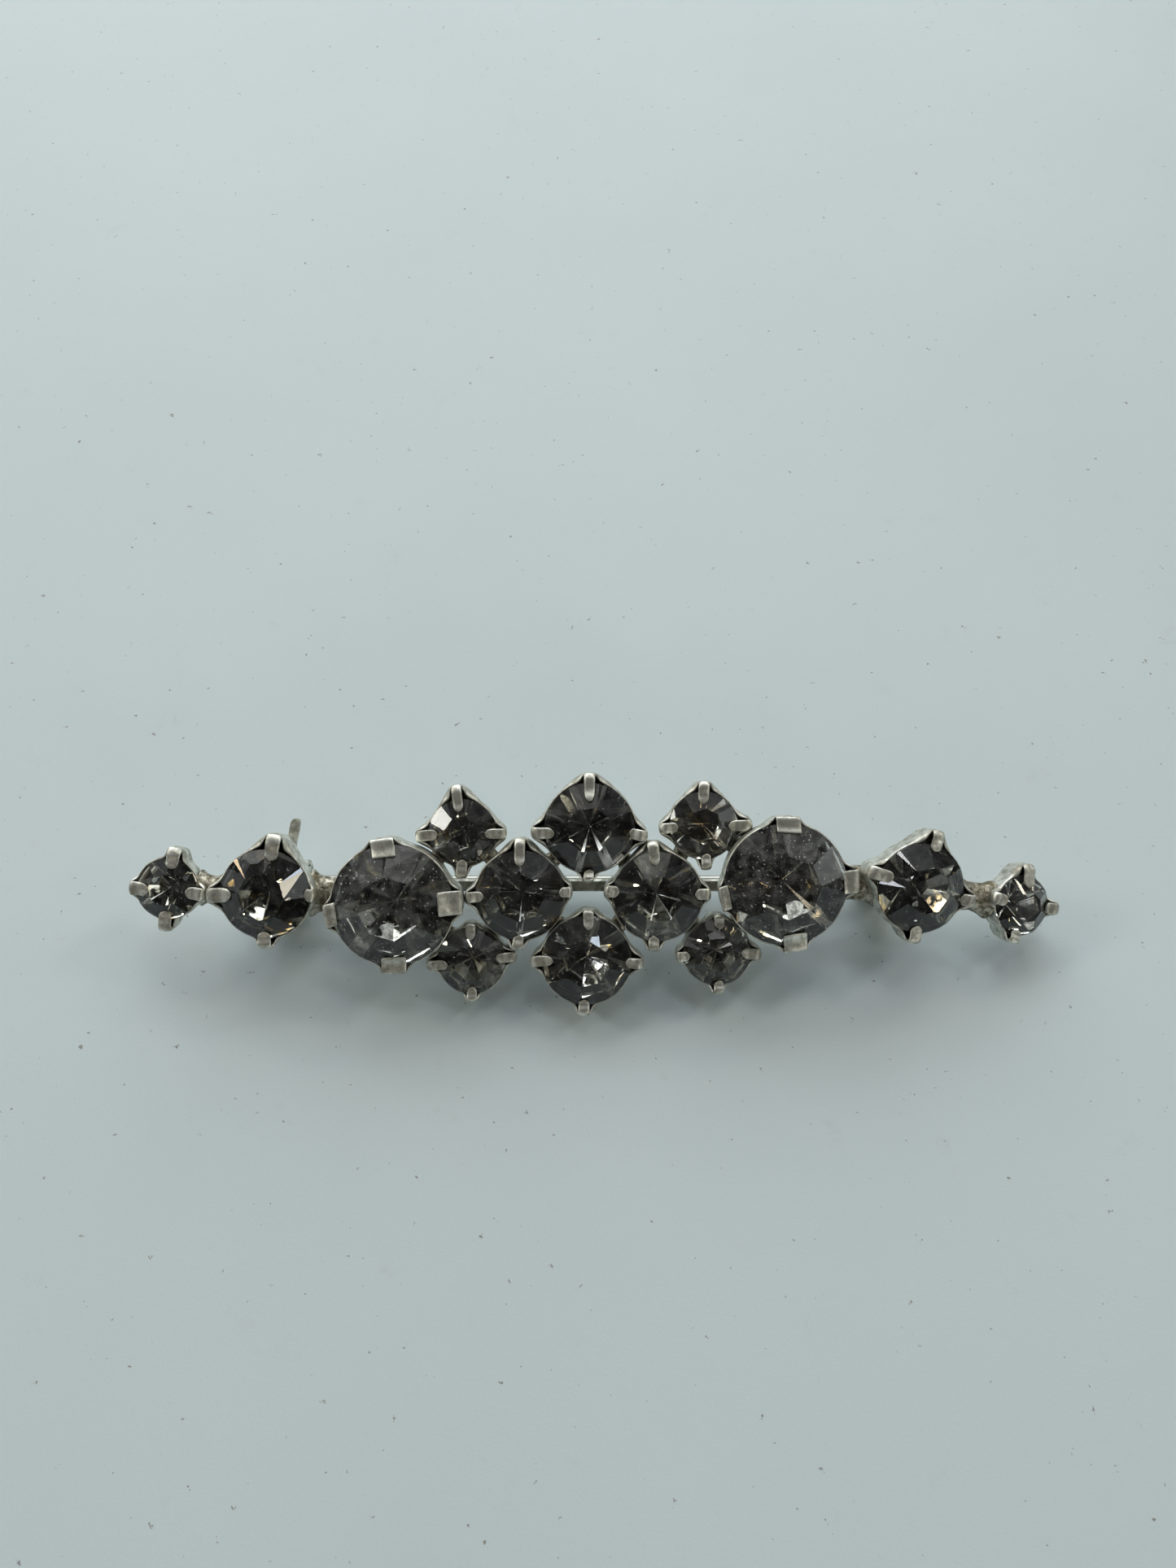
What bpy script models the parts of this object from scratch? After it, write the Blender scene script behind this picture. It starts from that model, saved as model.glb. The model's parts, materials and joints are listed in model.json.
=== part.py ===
"""Bar brooch set with fourteen foiled rhinestones in clawed cups, with a pin and a roll-over safety catch.

Units are metres. The brooch is modelled flat, face up (+Z), long side along X, cup backs on the plane z = 0.
The whole brooch then leans as it rests on a table: on its bottom cup's back edge, its catch and its hinge.
"""
import math

import bmesh
import bpy
from mathutils import Matrix, Vector

# Stones: girdle diameters and the cut, as shares of the diameter
LARGE_D = 0.0102
MEDIUM_D = 0.0076
SMALL_D = 0.00575
END_D = 0.00525
PAVILION_SHARE = 0.40
CROWN_SHARE = 0.17
TABLE_SHARE = 0.52
GIRDLE_T = 0.00015
RIDGE_SHARE = 0.055
CUT_SIDES = 8
GIRDLE_SIDES = 32
BLANK_SHARE = 1.1

# Cups: pressed sheet with claws folded over the stone
SHEET_T = 0.00028
SEAT_GAP = 0.0003
BASE_SHARE = 0.60
BOWL_HEIGHT = 0.40
BOWL_WIDTH = 0.65
RIM_INSET = 0.00005
RIM_DROP = 0.0007
SIDES_BETWEEN_CLAWS = 4
CLAW_W = 0.0009
CLAW_STAND = 0.00085
CLAW_LAP = 0.0012
CLAW_RISE_SHARE = 0.5
CLAW_SHOULDER_SHARE = 0.35
TAB_W = 0.0020
TAB_STAND = 0.00047
TAB_LAP = 0.0009

# Layout: gaps between neighbouring girdles
CENTRE_OPENING = 0.00376
LEFT_CENTRE_DROP = 0.0001
RIGHT_CENTRE_DROP = 0.0002
TOP_GAP = 0.00042
BOTTOM_LEFT_GAP = 0.00015
BOTTOM_RIGHT_GAP = 0.00038
LARGE_GAP = 0.0016
NESTLE_GAP = 0.00035
TUCK_GAP = 0.0001
LEFT_SHOULDER_GAP = 0.0018
LEFT_END_GAP = 0.0020
RIGHT_SHOULDER_GAP = 0.0025
RIGHT_END_GAP = 0.0032
LEFT_LARGE_BEARING = 183.5
RIGHT_LARGE_BEARING = 6.5
LEFT_SHOULDER_BEARING = 176.0
LEFT_END_BEARING = 178.0
RIGHT_SHOULDER_BEARING = -2.5
RIGHT_END_BEARING = -12.0
SHOULDER_BEND = 9.0
END_BEND = 18.0
END_DROP = 0.0019

# Solder between the cups
SOLDER_R = 0.0007
SOLDER_LIFT = 0.0003
SOLDER_GAP = 0.0003
NECK_R = 0.00085
NECK_WAIST = 0.7
SHOULDER_NECK_WIDTH = 1.6
SOLDER_SIDES = 10
SOLDER_ROWS = 4

# Back bar
BAR_W = 0.00105
BAR_T = 0.0008
BAR_CHAMFER = 0.00015
BAR_GAP = 0.0003
BAR_PAST_CATCH = 0.0022
BAR_PAST_HINGE = 0.0017

# Pin, hinge and catch
HINGE_X = 0.0253
CATCH_X = -0.02657
FOOT_T = 0.0005
FOOT_GAP = 0.0003
FITTING_R = 0.0018
FITTING_DROP = 0.0001
PIN_R = 0.0004
PIN_PLAY = 0.0003
PIN_SHARPENED = 0.006
PIN_OVERHANG = 0.0012
PIN_POINT_SHARE = 0.12
PIN_TAPER_SHARE = 0.6
PIN_TAPER_AT = 0.4
KNUCKLE_WALL = 0.0006
KNUCKLE_T = 0.0009
KNUCKLE_PLAY = 0.0002
EAR_T = 0.0005
HINGE_L = 0.0034
RIVET_R = 0.0004
RIVET_HEAD_LIP = 0.00035
RIVET_HEAD_T = 0.0003
RUNNING_GAP = 0.0001
SIDE_GAP = 0.00015
CATCH_RING_L = 0.0012
CATCH_FOOT_W = 0.0032
CATCH_WALL = 0.00042
MOUTH_SHARE = 1.15
LEVER_W = 0.00085
LEVER_T = 0.0005
LEVER_REACH = 0.0055
LEVER_BEND = 0.0002
LEVER_LEAN = 12.0
LEVER_TIP = 0.00036
LEVER_ROUND = 0.00012
LEVER_SHOULDER_SHARE = 0.8
LEVER_TIP_SHARE = 0.4
ROUND_SIDES = 32

# Meshes: how close corners must be to count as one, and the angle in degrees above which an edge stays crisp
CUT_TOLERANCE = 0.0000001
MERGE_DISTANCE = 0.000001
CREASE_ANGLE = 40

# Finishes: colour, roughness and metallic
FINISHES = {
    "plated_metal": ((0.24, 0.22, 0.19), 0.35, 1.0),
    "foiled_glass": ((0.20, 0.21, 0.22), 0.08, 0.6),
    "solder": ((0.22, 0.21, 0.19), 0.5, 1.0),
    "pin_steel": ((0.45, 0.44, 0.42), 0.3, 1.0),
}

PIN_DEPTH = BAR_GAP + BAR_T + FOOT_GAP + FITTING_R + FITTING_DROP
RIVET_HEAD_R = RIVET_R + RIVET_HEAD_LIP
KNUCKLE_R = RIVET_R + RUNNING_GAP + KNUCKLE_WALL
ROTOR_BORE_R = PIN_R + PIN_PLAY
SLOT_W = 2 * ROTOR_BORE_R - RUNNING_GAP
MOUTH_W = SLOT_W * MOUTH_SHARE
CATCH_REACH = LEVER_W / 2 + SIDE_GAP + CATCH_RING_L

SETTINGS = {}


class Setting:
    """One cup with its stone: where the girdle's centre is, the stone's size and the claws' bearings."""

    def __init__(self, name, diameter, centre, claws, stone_turn=0.0, bend=0.0, drop=0.0):
        self.name = name
        self.diameter = diameter
        self.radius = diameter / 2
        self.centre = centre
        self.claws = claws
        self.stone_turn = stone_turn
        self.bend = bend
        self.height = diameter * PAVILION_SHARE + SHEET_T + SEAT_GAP
        self.girdle_z = self.height - drop
        self.tabbed = diameter == LARGE_D
        self.claw_w = TAB_W if self.tabbed else CLAW_W
        self.stand = TAB_STAND if self.tabbed else CLAW_STAND
        self.lap = TAB_LAP if self.tabbed else CLAW_LAP
        SETTINGS[name] = self

    def matrix(self):
        """Cup space, with the cup's back on z = 0, to brooch space. A bent cup turns about its girdle."""
        place = Matrix.Translation((self.centre.x, self.centre.y, self.girdle_z))
        turn = Matrix.Rotation(math.radians(self.bend), 4, "Y")
        return place @ turn @ Matrix.Translation((0, 0, -self.height))

    def off_claw(self, bearing):
        """Angle in radians from a bearing to the side of the nearest claw."""
        half = math.asin(self.claw_w / 2 / (self.radius + self.stand))
        apart = [abs((bearing - math.radians(c) + math.pi) % math.tau - math.pi) for c in self.claws]
        return max(0.0, min(apart) - half)

    def rim(self, bearing):
        """Outer radius and height of the rim: straight sides that touch the girdle and meet at the claws."""
        reach = self.radius + self.stand
        spread = math.acos(self.radius / reach)
        off = self.off_claw(bearing)
        radius = self.radius / math.cos(max(0.0, spread - off)) - RIM_INSET
        drop = 1.0 if self.tabbed else min(1.0, off / (spread / 2))
        return radius, self.height - RIM_DROP * drop

    def wall_radius(self, bearing, z):
        """Outer radius of the wall at a height above the cup's back."""
        rim_r, rim_z = self.rim(bearing)
        base_r = self.radius * BASE_SHARE
        bowl_r = base_r + BOWL_WIDTH * (rim_r - base_r)
        bowl_z = BOWL_HEIGHT * rim_z
        if z < bowl_z:
            return base_r + (bowl_r - base_r) * z / bowl_z
        return bowl_r + (rim_r - bowl_r) * (z - bowl_z) / (rim_z - bowl_z)


def beside(setting, diameter, bearing, gap):
    """Centre of a stone next to a setting, along a bearing in degrees."""
    away = setting.radius + diameter / 2 + gap
    angle = math.radians(bearing)
    return setting.centre + away * Vector((math.cos(angle), math.sin(angle)))


def nestled(left, right, diameter, side, left_gap, right_gap):
    """Centre of a stone that sits against two settings, above (side 1) or below (side -1) their line."""
    to_left = left.radius + diameter / 2 + left_gap
    to_right = right.radius + diameter / 2 + right_gap
    line = right.centre - left.centre
    along = (to_left**2 - to_right**2 + line.length_squared) / (2 * line.length)
    across = math.sqrt(to_left**2 - along**2)
    unit = line.normalized()
    return left.centre + along * unit + side * across * Vector((-unit.y, unit.x))


def lay_out_settings():
    """Place the fourteen settings outwards from the two at the centre."""
    half = (MEDIUM_D + CENTRE_OPENING) / 2
    centre = Vector((-half, -LEFT_CENTRE_DROP))
    left_centre = Setting("left_centre", MEDIUM_D, centre, (-2, 92, 182, 265), 20)
    centre = Vector((half, -RIGHT_CENTRE_DROP))
    right_centre = Setting("right_centre", MEDIUM_D, centre, (4, 98, 181, 265), 10)
    top = nestled(left_centre, right_centre, MEDIUM_D, 1, TOP_GAP, TOP_GAP)
    Setting("top", MEDIUM_D, top, (-8, 92, 184, 272), 5)
    bottom = nestled(left_centre, right_centre, MEDIUM_D, -1, BOTTOM_LEFT_GAP, BOTTOM_RIGHT_GAP)
    Setting("bottom", MEDIUM_D, bottom, (-2, 88, 180, 272), 12)

    centre = beside(left_centre, LARGE_D, LEFT_LARGE_BEARING, LARGE_GAP)
    left_large = Setting("left_large", LARGE_D, centre, (3, 98, 190, 270), 8)
    centre = beside(right_centre, LARGE_D, RIGHT_LARGE_BEARING, LARGE_GAP)
    right_large = Setting("right_large", LARGE_D, centre, (-1, 90, 193, 278), 15)

    centre = nestled(left_large, left_centre, SMALL_D, 1, TUCK_GAP, NESTLE_GAP)
    Setting("left_top", SMALL_D, centre, (0, 94, 184, 268), 10)
    centre = nestled(left_large, left_centre, SMALL_D, -1, TUCK_GAP, NESTLE_GAP)
    Setting("left_bottom", SMALL_D, centre, (8, 90, 184, 270), 0)
    centre = nestled(right_centre, right_large, SMALL_D, 1, NESTLE_GAP, TUCK_GAP)
    Setting("right_top", SMALL_D, centre, (1, 93, 184, 270), 18)
    centre = nestled(right_centre, right_large, SMALL_D, -1, NESTLE_GAP, TUCK_GAP)
    Setting("right_bottom", SMALL_D, centre, (-1, 89, 185, 270), 6)

    centre = beside(left_large, MEDIUM_D, LEFT_SHOULDER_BEARING, LEFT_SHOULDER_GAP)
    left_shoulder = Setting("left_shoulder", MEDIUM_D, centre, (-1, 86, 181, 268), 14)
    centre = beside(left_shoulder, END_D, LEFT_END_BEARING, LEFT_END_GAP)
    Setting("left_end", END_D, centre, (-9, 84, 177, 265), 0)
    centre = beside(right_large, MEDIUM_D, RIGHT_SHOULDER_BEARING, RIGHT_SHOULDER_GAP)
    right_shoulder = Setting("right_shoulder", MEDIUM_D, centre, (-14, 75, 164, 260), 9, SHOULDER_BEND)
    centre = beside(right_shoulder, END_D, RIGHT_END_BEARING, RIGHT_END_GAP)
    Setting("right_end", END_D, centre, (-7, 86, 163, 256), 4, END_BEND, END_DROP)


JOINED = [
    ("left_end", "left_shoulder"),
    ("left_shoulder", "left_large"),
    ("left_large", "left_top"),
    ("left_large", "left_bottom"),
    ("left_top", "left_centre"),
    ("left_bottom", "left_centre"),
    ("left_centre", "top"),
    ("left_centre", "bottom"),
    ("top", "right_centre"),
    ("bottom", "right_centre"),
    ("right_centre", "right_top"),
    ("right_centre", "right_bottom"),
    ("right_top", "right_large"),
    ("right_bottom", "right_large"),
    ("right_large", "right_shoulder"),
    ("right_shoulder", "right_end"),
]


def material(name):
    """A plain Principled finish, from the table of finishes."""
    colour, roughness, metallic = FINISHES[name]
    made = bpy.data.materials.new(name)
    made.use_nodes = True
    shader = made.node_tree.nodes["Principled BSDF"]
    shader.inputs["Base Color"].default_value = (*colour, 1)
    shader.inputs["Roughness"].default_value = roughness
    shader.inputs["Metallic"].default_value = metallic
    return made


def new_object(name, mesh, collection, finish, parent, matrix=None):
    """An object in a collection, on a parent, with one material."""
    made = bpy.data.objects.new(name, mesh)
    collection.objects.link(made)
    if finish and not mesh.materials:
        mesh.materials.append(finish)
    made.parent = parent
    if matrix is not None:
        made.matrix_local = matrix
    return made


def mesh_from(bm, name):
    """Turn a bmesh into a mesh whose faces point out."""
    bmesh.ops.recalc_face_normals(bm, faces=bm.faces)
    mesh = bpy.data.meshes.new(name)
    bm.to_mesh(mesh)
    bm.free()
    return mesh


def slice_off(bm, point, normal):
    """Cut away what lies beyond a plane and close the cut with one facet."""
    geometry = bm.verts[:] + bm.edges[:] + bm.faces[:]
    cut = bmesh.ops.bisect_plane(
        bm, geom=geometry, dist=CUT_TOLERANCE, plane_co=point, plane_no=normal, clear_outer=True
    )
    edges = [e for e in cut["geom_cut"] if isinstance(e, bmesh.types.BMEdge)]
    bmesh.ops.contextual_create(bm, geom=edges)


def stone_mesh(name, diameter):
    """A stone cut from a round blank: a table, eight facets above and below, and one along each ridge."""
    radius = diameter / 2
    pavilion = diameter * PAVILION_SHARE
    crown = diameter * CROWN_SHARE
    table_r = radius * TABLE_SHARE
    blank = (pavilion + GIRDLE_T + crown) * BLANK_SHARE
    bm = bmesh.new()
    bmesh.ops.create_cone(
        bm, cap_ends=True, segments=GIRDLE_SIDES, radius1=radius, radius2=radius, depth=blank
    )
    bmesh.ops.translate(bm, verts=bm.verts, vec=(0, 0, (crown + GIRDLE_T - pavilion) / 2))
    slice_off(bm, (0, 0, crown + GIRDLE_T), (0, 0, 1))
    flat = math.cos(math.pi / CUT_SIDES)
    up = Vector((0, 0, 1))
    for i in range(CUT_SIDES):
        angle = math.tau * i / CUT_SIDES
        out = Vector((math.cos(angle), math.sin(angle), 0))
        slice_off(bm, out * radius + up * GIRDLE_T, out * crown + up * (radius - table_r * flat))
        slice_off(bm, up * -pavilion, out * pavilion - up * radius)
        angle += math.pi / CUT_SIDES
        out = Vector((math.cos(angle), math.sin(angle), 0))
        crown_rise = crown * (1 - RIDGE_SHARE)
        slice_off(bm, out * table_r + up * (crown + GIRDLE_T), out * crown_rise + up * (radius - table_r))
        slice_off(bm, up * -pavilion, out * pavilion * (1 - RIDGE_SHARE) - up * radius)
    return mesh_from(bm, name)


def cup_mesh(setting):
    """The outer surface of a pressed cup: a flat back, a bowl, a rim with straight sides, and four claws."""
    half = math.asin(setting.claw_w / 2 / (setting.radius + setting.stand))
    claws = [math.radians(c) for c in setting.claws]
    bearings = []
    for i, claw in enumerate(claws):
        following = claws[(i + 1) % len(claws)] + (math.tau if i + 1 == len(claws) else 0)
        first, last = claw + half, following - half
        bearings.append(claw - half)
        bearings += [first + (last - first) * k / SIDES_BETWEEN_CLAWS for k in range(SIDES_BETWEEN_CLAWS)]
    columns = len(bearings)
    bm = bmesh.new()
    bmesh.ops.create_circle(bm, cap_ends=True, radius=setting.radius, segments=columns)
    ring = sorted(bm.verts, key=lambda v: math.atan2(v.co.y, v.co.x) % math.tau)

    def place(verts, radii, heights):
        for vert, bearing, radius, z in zip(verts, bearings, radii, heights):
            vert.co = (radius * math.cos(bearing), radius * math.sin(bearing), z)

    def grow(verts, closed):
        pairs = list(zip(verts, verts[1:] + verts[:1] if closed else verts[1:]))
        edges = [bm.edges.get(pair) for pair in pairs]
        grown = bmesh.ops.extrude_edge_only(bm, edges=edges)["geom"]
        fresh = [g for g in grown if isinstance(g, bmesh.types.BMVert)]
        linked = []
        for vert in verts:
            linked += [e.other_vert(vert) for e in vert.link_edges if e.other_vert(vert) in fresh]
        return linked

    rims = [setting.rim(b) for b in bearings]
    base_r = setting.radius * BASE_SHARE
    place(ring, [base_r] * columns, [0.0] * columns)
    ring = grow(ring, True)
    place(ring, [base_r + BOWL_WIDTH * (r - base_r) for r, z in rims], [BOWL_HEIGHT * z for r, z in rims])
    ring = grow(ring, True)
    place(ring, [r for r, z in rims], [z for r, z in rims])

    crown_slope = setting.diameter * CROWN_SHARE / (setting.radius * (1 - TABLE_SHARE))
    lift = (SEAT_GAP + SHEET_T) * math.sqrt(1 + crown_slope**2)
    over = setting.height + GIRDLE_T + setting.diameter * CROWN_SHARE * 2 * RIDGE_SHARE + lift
    shoulder = setting.radius + setting.stand * CLAW_SHOULDER_SHARE
    tip = setting.radius - setting.lap
    outer = setting.radius + setting.stand - RIM_INSET
    path = [
        (outer, setting.height + (over - setting.height) * CLAW_RISE_SHARE),
        (shoulder, over + (setting.radius - shoulder) * crown_slope),
        (tip, over + (setting.radius - tip) * crown_slope),
    ]
    for i in range(len(claws)):
        first = i * (SIDES_BETWEEN_CLAWS + 1)
        side = ring[first : first + 2]
        out = Vector((math.cos(claws[i]), math.sin(claws[i]), 0))
        across = Vector((-out.y, out.x, 0))
        for radius, z in path:
            side = grow(side, False)
            for vert, way in zip(side, (-1, 1)):
                vert.co = out * radius + across * way * setting.claw_w / 2 + Vector((0, 0, z))
    return mesh_from(bm, "setting_" + setting.name)


def smooth(mesh):
    """Shade round faces smooth and keep the edges crisp."""
    mesh.shade_smooth()
    mesh.set_sharp_from_angle(angle=math.radians(CREASE_ANGLE))


def add_solidify(made, thickness):
    """A wall of sheet inside an open surface."""
    wall = made.modifiers.new("sheet", "SOLIDIFY")
    wall.thickness = thickness
    wall.offset = -1
    wall.use_even_offset = True
    wall.use_quality_normals = True


def build_settings(parts, finishes, brooch):
    """Every cup and its stone."""
    stones = {}
    for setting in SETTINGS.values():
        name = "setting_" + setting.name
        cup = new_object(name, cup_mesh(setting), parts, finishes["plated_metal"], brooch, setting.matrix())
        add_solidify(cup, SHEET_T)
        smooth(cup.data)
        if setting.diameter not in stones:
            stones[setting.diameter] = stone_mesh("stone", setting.diameter)
        turn = Matrix.Rotation(math.radians(setting.stone_turn), 4, "Z")
        seat = setting.matrix() @ Matrix.Translation((0, 0, setting.height)) @ turn
        name = "stone_" + setting.name
        new_object(name, stones[setting.diameter], parts, finishes["foiled_glass"], brooch, seat)


def solder_mesh(name, length, radius, waist, width):
    """A turned bead of solder along Z, drawn in at its waist and widened along X."""
    bm = bmesh.new()
    bmesh.ops.create_cone(
        bm, cap_ends=True, segments=SOLDER_SIDES, radius1=radius, radius2=radius, depth=length
    )
    sides = [e for e in bm.edges if abs(e.verts[0].co.z - e.verts[1].co.z) > length / 2]
    bmesh.ops.subdivide_edges(bm, edges=sides, cuts=SOLDER_ROWS - 1)
    for vert in bm.verts:
        share = abs(vert.co.z) / (length / 2)
        narrow = waist + (1 - waist) * share**2
        vert.co.x *= narrow * width
        vert.co.y *= narrow
    mesh = mesh_from(bm, name)
    smooth(mesh)
    return mesh


def off_wall(setting, bearing, radius):
    """Where a bead of solder ends beside a cup: clear of the wall as far up as the bead reaches."""
    height = SOLDER_LIFT + radius
    reach = setting.wall_radius(bearing, height + radius) + SOLDER_GAP
    return setting.matrix() @ Vector((reach * math.cos(bearing), reach * math.sin(bearing), height))


def build_solder(parts, finishes, brooch):
    """A bead between each two cups that touch, and a longer neck where they stand apart."""
    for first, second in JOINED:
        a, b = SETTINGS[first], SETTINGS[second]
        line = b.centre - a.centre
        bearing = math.atan2(line.y, line.x)
        is_neck = line.length - a.radius - b.radius > 2 * CLAW_STAND
        is_wide = is_neck and max(a.diameter, b.diameter) == LARGE_D
        radius = NECK_R if is_neck else SOLDER_R
        start = off_wall(a, bearing, radius)
        end = off_wall(b, bearing + math.pi, radius)
        run = (end - start).normalized()
        level = Vector((-run.y, run.x, 0)).normalized()
        turn = Matrix((level, run.cross(level), run)).transposed().to_4x4()
        waist = NECK_WAIST if is_neck else 1.0
        width = SHOULDER_NECK_WIDTH if is_wide else 1.0
        mesh = solder_mesh("solder", (end - start).length, radius, waist, width)
        matrix = Matrix.Translation((start + end) / 2) @ turn
        new_object(f"solder_{first}_{second}", mesh, parts, finishes["solder"], brooch, matrix)


def box_mesh(name, low, high):
    """A box between two corners."""
    bm = bmesh.new()
    bmesh.ops.create_cube(bm, size=1)
    low, high = Vector(low), Vector(high)
    for vert in bm.verts:
        vert.co = [low[i] if vert.co[i] < 0 else high[i] for i in range(3)]
    return mesh_from(bm, name)


def lever_mesh(near, far):
    """The catch's lever, between two places along x: straight past the rings, then leaning to a round tip."""
    mesh = box_mesh("lever", (near, 0, -LEVER_T / 2), (far, FITTING_R + LEVER_BEND, LEVER_T / 2))
    bm = bmesh.new()
    bm.from_mesh(mesh)
    end = max(bm.faces, key=lambda f: f.calc_center_median().y)
    steps = [(LEVER_REACH - LEVER_TIP, 1.0), (LEVER_REACH - LEVER_ROUND, LEVER_SHOULDER_SHARE)]
    steps.append((LEVER_REACH, LEVER_TIP_SHARE / LEVER_SHOULDER_SHARE))
    for reach, width in steps:
        end = bmesh.ops.extrude_discrete_faces(bm, faces=[end])["faces"][0]
        middle = end.calc_center_median()
        lean = (reach - middle.y) * math.tan(math.radians(LEVER_LEAN))
        for vert in end.verts:
            vert.co.x = middle.x + lean + (vert.co.x - middle.x) * width
            vert.co.y = reach
    return mesh_from(bm, "lever")


def rod_mesh(name, axis, centre, radius, length):
    """A round rod along X or Y."""
    bm = bmesh.new()
    bmesh.ops.create_cone(
        bm, cap_ends=True, segments=ROUND_SIDES, radius1=radius, radius2=radius, depth=length
    )
    turn = Matrix.Rotation(math.pi / 2, 4, "Y" if axis == "X" else "X")
    bmesh.ops.transform(bm, matrix=Matrix.Translation(centre) @ turn, verts=bm.verts)
    mesh = mesh_from(bm, name)
    smooth(mesh)
    return mesh


def add_boolean(made, mesh, operation, cutters, parent):
    """Join or cut an object with a helper shape, which stays out of the model."""
    helper = bpy.data.objects.new(f"{made.name}_{operation.lower()}_{len(made.modifiers)}", mesh)
    cutters.objects.link(helper)
    helper.parent = parent
    helper.hide_render = True
    helper.display_type = "WIRE"
    change = made.modifiers.new(operation.lower(), "BOOLEAN")
    change.operation = operation
    change.solver = "EXACT"
    change.object = helper


def add_screw(made):
    """Turn a profile all the way round Z."""
    turned = made.modifiers.new("turned", "SCREW")
    turned.axis = "Z"
    turned.steps = ROUND_SIDES
    turned.render_steps = ROUND_SIDES
    turned.use_merge_vertices = True
    turned.merge_threshold = MERGE_DISTANCE


def profile_mesh(name, points):
    """An open profile in the XZ plane, from (radius, height) points."""
    mesh = bpy.data.meshes.new(name)
    edges = [(i, i + 1) for i in range(len(points) - 1)]
    mesh.from_pydata([(r, 0, z) for r, z in points], edges, [])
    return mesh


def build_bar(parts, finishes, brooch):
    """The flat bar across the backs of the cups on the centre line."""
    top = -BAR_GAP
    low = (CATCH_X - BAR_PAST_CATCH, -BAR_W / 2, top - BAR_T)
    mesh = box_mesh("back_bar", low, (HINGE_X + BAR_PAST_HINGE, BAR_W / 2, top))
    bar = new_object("back_bar", mesh, parts, finishes["plated_metal"], brooch)
    edge = bar.modifiers.new("edge", "BEVEL")
    edge.width = BAR_CHAMFER
    edge.segments = 1


def build_hinge(parts, cutters, finishes, brooch):
    """A bracket with two ears under the bar, and the rivet through them."""
    foot_top = -BAR_GAP - BAR_T - FOOT_GAP
    inside = KNUCKLE_T / 2 + KNUCKLE_PLAY
    outside = inside + EAR_T
    low = (HINGE_X - HINGE_L / 2, -outside, -PIN_DEPTH)
    mesh = box_mesh("hinge_bracket", low, (HINGE_X + HINGE_L / 2, outside, foot_top))
    bracket = new_object("hinge_bracket", mesh, parts, finishes["plated_metal"], brooch)
    axis = (HINGE_X, 0, -PIN_DEPTH)
    add_boolean(bracket, rod_mesh("ears", "Y", axis, FITTING_R, 2 * outside), "UNION", cutters, brooch)
    low = (HINGE_X - 2 * HINGE_L, -inside, -PIN_DEPTH - 2 * FITTING_R)
    slot = box_mesh("slot", low, (HINGE_X + 2 * HINGE_L, inside, foot_top - FOOT_T))
    add_boolean(bracket, slot, "DIFFERENCE", cutters, brooch)
    bore = rod_mesh("bore", "Y", axis, RIVET_R + RUNNING_GAP, 4 * outside)
    add_boolean(bracket, bore, "DIFFERENCE", cutters, brooch)

    head = outside + SIDE_GAP
    tip = head + RIVET_HEAD_T
    points = [(0, tip), (RIVET_HEAD_R, tip), (RIVET_HEAD_R, head), (RIVET_R, head)]
    points += [(RIVET_R, -head), (RIVET_HEAD_R, -head), (RIVET_HEAD_R, -tip), (0, -tip)]
    lie = Matrix.Translation(axis) @ Matrix.Rotation(math.pi / 2, 4, "X")
    profile = profile_mesh("hinge_rivet", points)
    rivet = new_object("hinge_rivet", profile, parts, finishes["plated_metal"], brooch, lie)
    add_screw(rivet)


def build_pin(parts, cutters, finishes, brooch):
    """The pin: a sharpened wire that ends in a drilled knuckle on the rivet, on its own pivot."""
    pivot = bpy.data.objects.new("pin_pivot", None)
    parts.objects.link(pivot)
    pivot.parent = brooch
    pivot.location = (HINGE_X, 0, -PIN_DEPTH)
    length = HINGE_X - CATCH_X + CATCH_REACH + PIN_OVERHANG
    blunt = PIN_R * PIN_POINT_SHARE
    near = length - PIN_SHARPENED
    middle = length - PIN_SHARPENED * PIN_TAPER_AT
    points = [(0, length), (blunt, length), (PIN_R * PIN_TAPER_SHARE, middle)]
    points += [(PIN_R, near), (PIN_R, 0), (0, 0)]
    lie = Matrix.Rotation(-math.pi / 2, 4, "Y")
    wire = new_object("pin_stem", profile_mesh("pin_stem", points), parts, finishes["pin_steel"], pivot, lie)
    add_screw(wire)
    knuckle = rod_mesh("knuckle", "Y", (0, 0, 0), KNUCKLE_R, KNUCKLE_T)
    add_boolean(wire, knuckle, "UNION", cutters, pivot)
    eye = rod_mesh("eye", "Y", (0, 0, 0), RIVET_R + RUNNING_GAP, 2 * KNUCKLE_T)
    add_boolean(wire, eye, "DIFFERENCE", cutters, pivot)


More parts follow.
